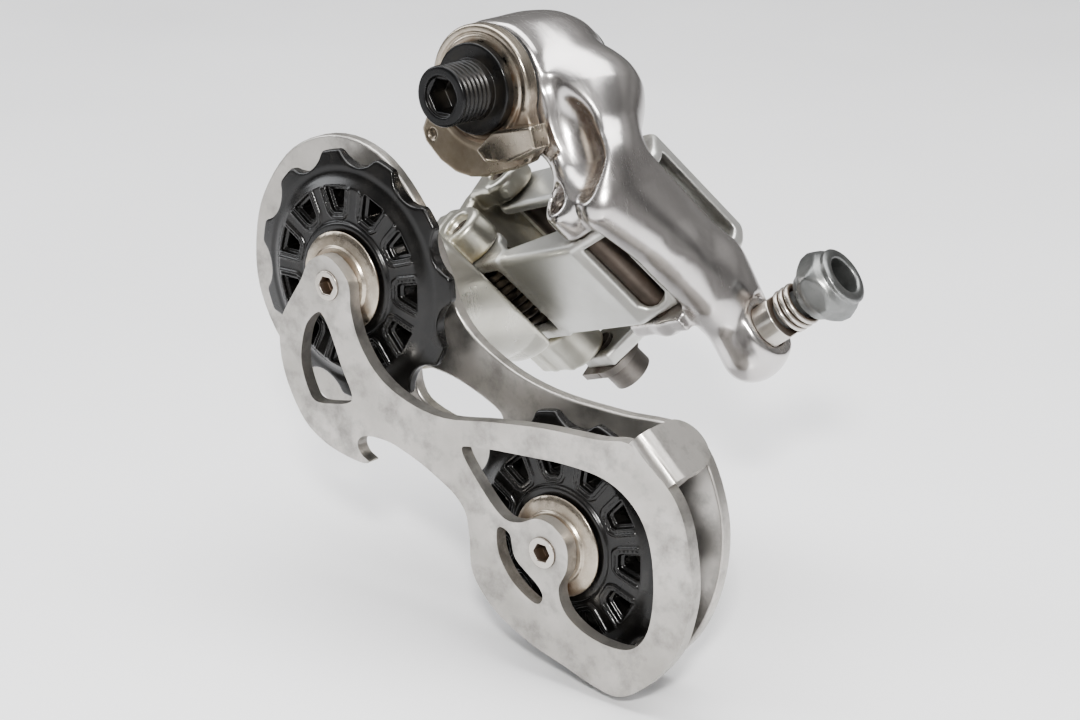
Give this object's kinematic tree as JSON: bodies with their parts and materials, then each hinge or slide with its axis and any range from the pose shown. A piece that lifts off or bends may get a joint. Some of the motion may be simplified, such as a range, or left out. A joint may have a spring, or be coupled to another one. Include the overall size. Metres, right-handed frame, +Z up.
{
  "type": "rear bicycle derailleur",
  "caption": "Short-cage rear derailleur with polished slant parallelogram, black toothed pulleys, windowed cage plates and a cable adjuster.",
  "frame": {"origin": "centre of the hanger bolt, on the collar face that seats on the frame's hanger", "axes": "+X towards the bicycle's rear, +Y outboard away from the wheel along the bolt, +Z up"},
  "size_m": [0.1013, 0.0685, 0.0951],
  "materials": {
    "polished_alloy": "mirror polished",
    "satin_alloy": "tumbled satin, grey stains",
    "black_steel": "black oxide, semi-gloss",
    "tarnished_nickel": "nickel plate with brown tarnish",
    "bright_steel": "bright plated, fine turned lines",
    "zinc": "matt grey cast zinc",
    "black_plastic": "moulded, semi-matt",
    "bush_plastic": "dark brown moulded",
    "rubber": "matt",
    "spring_steel": "dark oiled wire"
  },
  "bodies": {
    "hanger": {"hanger_bolt": "black_steel", "stop_plate": "tarnished_nickel"},
    "upper_body": {"upper_knuckle": "polished_alloy", "upper_bushing": "bush_plastic", "upper_spring": "spring_steel", "upper_seal": "rubber", "upper_inner_pin": "bright_steel", "upper_outer_pin": "bright_steel", "adjuster_sleeve": "bright_steel", "adjuster_spring": "bright_steel"},
    "adjuster": {"adjuster_barrel": "zinc"},
    "inner_link": {"inner_link": "satin_alloy"},
    "outer_link": {"outer_link": "satin_alloy", "cable_anchor_bolt": "bright_steel", "cable_clamp_washer": "bright_steel"},
    "lower_body": {"lower_knuckle": "polished_alloy", "lower_inner_pin": "bright_steel", "lower_outer_pin": "bright_steel", "limit_screws": "bright_steel", "return_spring": "spring_steel", "cage_spring": "spring_steel", "lower_seal": "rubber", "cage_bushing": "bush_plastic"},
    "cage": {"outer_cage_plate": "satin_alloy", "inner_cage_plate": "satin_alloy", "cage_pivot_bolt": "black_steel", "upper_pulley_bolt": "bright_steel", "lower_pulley_bolt": "bright_steel", "upper_pulley_bushing": "bright_steel", "lower_pulley_bushing": "bright_steel", "upper_dust_caps": "tarnished_nickel", "lower_dust_caps": "tarnished_nickel"},
    "upper_pulley": {"upper_pulley": "black_plastic"},
    "lower_pulley": {"lower_pulley": "black_plastic"}
  },
  "joints": [
    {"name": "upper_pivot", "type": "hinge", "parent": "hanger", "child": "upper_body", "pos_m": [0, 0, 0], "axis": [0, -1, 0], "range_deg": [0, 50], "stiffness_Nm_per_rad": 0.3, "springref_deg": -57.3},
    {"name": "inner_link_swing", "type": "hinge", "parent": "upper_body", "child": "inner_link", "pos_m": [0.02161, 0.01228, -0.02837], "axis": [-0.4009, -0.5517, 0.7314], "range_deg": [0, 45], "stiffness_Nm_per_rad": 0.2, "springref_deg": -57.3},
    {"name": "outer_link_swing", "type": "hinge", "parent": "upper_body", "child": "outer_link", "pos_m": [0.02005, 0.02378, -0.02055], "axis": [-0.4009, -0.5517, 0.7314], "range_deg": [0, 45]},
    {"name": "lower_body_swing", "type": "hinge", "parent": "inner_link", "child": "lower_body", "pos_m": [-0.00632, 0.01921, -0.03846], "axis": [-0.4009, -0.5517, 0.7314], "range_deg": [-45, 0]},
    {"name": "cage_pivot", "type": "hinge", "parent": "lower_body", "child": "cage", "pos_m": [-0.008, -0.004, -0.037], "axis": [0, 1, 0], "range_deg": [0, 110], "stiffness_Nm_per_rad": 0.08, "springref_deg": -68.75},
    {"name": "upper_pulley_spin", "type": "hinge", "parent": "cage", "child": "upper_pulley", "pos_m": [-0.0114, -0.0156, -0.0297], "axis": [0, 1, 0], "continuous": true},
    {"name": "lower_pulley_spin", "type": "hinge", "parent": "cage", "child": "lower_pulley", "pos_m": [0.0332, -0.0156, -0.0638], "axis": [0, 1, 0], "continuous": true},
    {"name": "adjuster_turn", "type": "hinge", "parent": "upper_body", "child": "adjuster", "pos_m": [0.041, 0.0258, -0.0376], "axis": [0.7629, 0.1483, 0.6293], "range_deg": [-360, 360]}
  ],
  "couplings": [
    {"joint": "outer_link_swing", "follows": "inner_link_swing", "ratio": 1},
    {"joint": "lower_body_swing", "follows": "inner_link_swing", "ratio": -1}
  ]
}
